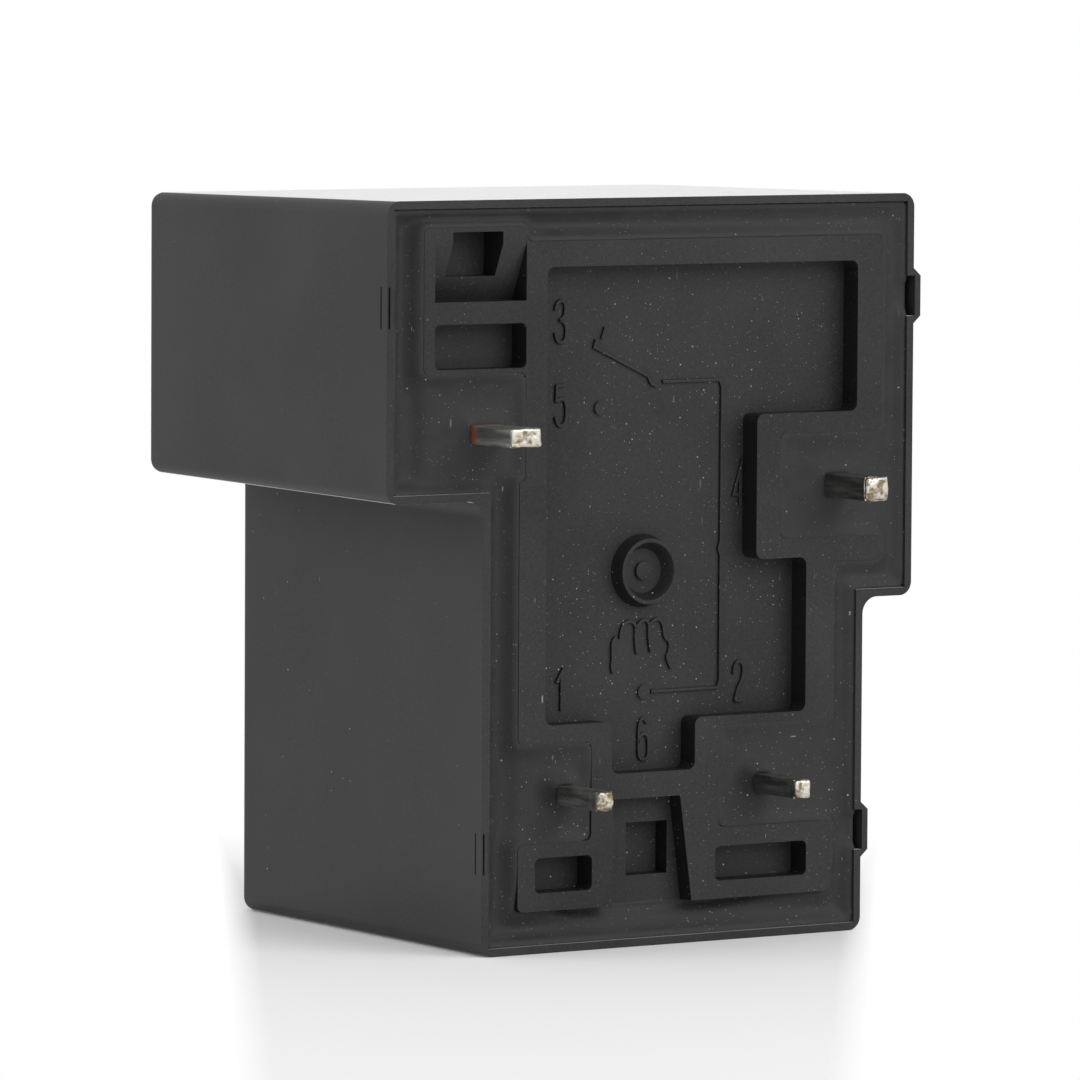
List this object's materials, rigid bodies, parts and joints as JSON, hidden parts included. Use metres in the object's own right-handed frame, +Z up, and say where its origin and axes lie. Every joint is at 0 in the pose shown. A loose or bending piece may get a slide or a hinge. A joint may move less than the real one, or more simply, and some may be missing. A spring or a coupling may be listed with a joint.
{
  "type": "automotive relay",
  "caption": "Sealed relay for a printed circuit board: T-shaped black moulded case, resin-sealed base with square and flat solder pins, hinged armature with a make contact inside.",
  "frame": {"origin": "on the narrow end that the relay stands on in the picture, at the middle of the wide part's width and of the case's depth", "axes": "+X to the right seen from the pin side, +Y from the pins towards the closed far face, +Z up, towards the wide end"},
  "size_m": [0.0276, 0.0231, 0.0322],
  "materials": {
    "case_plastic": "fine matt moulded",
    "base_plastic": "matt moulded",
    "resin": "dull poured",
    "bobbin_plastic": "moulded",
    "enamelled_copper": "enamelled wire",
    "tape": "thin film",
    "plated_iron": "nickel plated",
    "spring_bronze": "rolled strip",
    "rivet_steel": "plain",
    "silver_alloy": "dull silver",
    "tinned_terminal": "hot tinned",
    "tinned_pin": "hot tinned",
    "solder": "dull"
  },
  "bodies": {
    "housing": {"cover": "case_plastic", "base": "base_plastic", "sealing_resin": "resin", "bobbin": "bobbin_plastic", "coil_winding": "enamelled_copper", "coil_tape": "tape", "core": "plated_iron", "yoke": "plated_iron", "yoke_rivets": "rivet_steel", "fixed_contact": "silver_alloy", "open_terminal": "tinned_terminal", "common_terminal": "tinned_terminal", "coil_pin_1": "tinned_pin", "coil_pin_2": "tinned_pin", "coil_solder": "solder", "coil_lead_1": "enamelled_copper", "coil_lead_2": "enamelled_copper", "backstop": "rivet_steel"},
    "armature_set": {"armature": "plated_iron", "contact_spring": "spring_bronze", "armature_rivets": "rivet_steel", "moving_contact": "silver_alloy"}
  },
  "joints": [
    {"name": "armature_hinge", "type": "hinge", "parent": "housing", "child": "armature_set", "pos_m": [0.0091, 0.00095, 0.023], "axis": [0, -1, 0], "range_deg": [0, 3.15], "stiffness_Nm_per_rad": 0.02, "springref_deg": -8.59, "deforming": ["contact_spring"]}
  ]
}
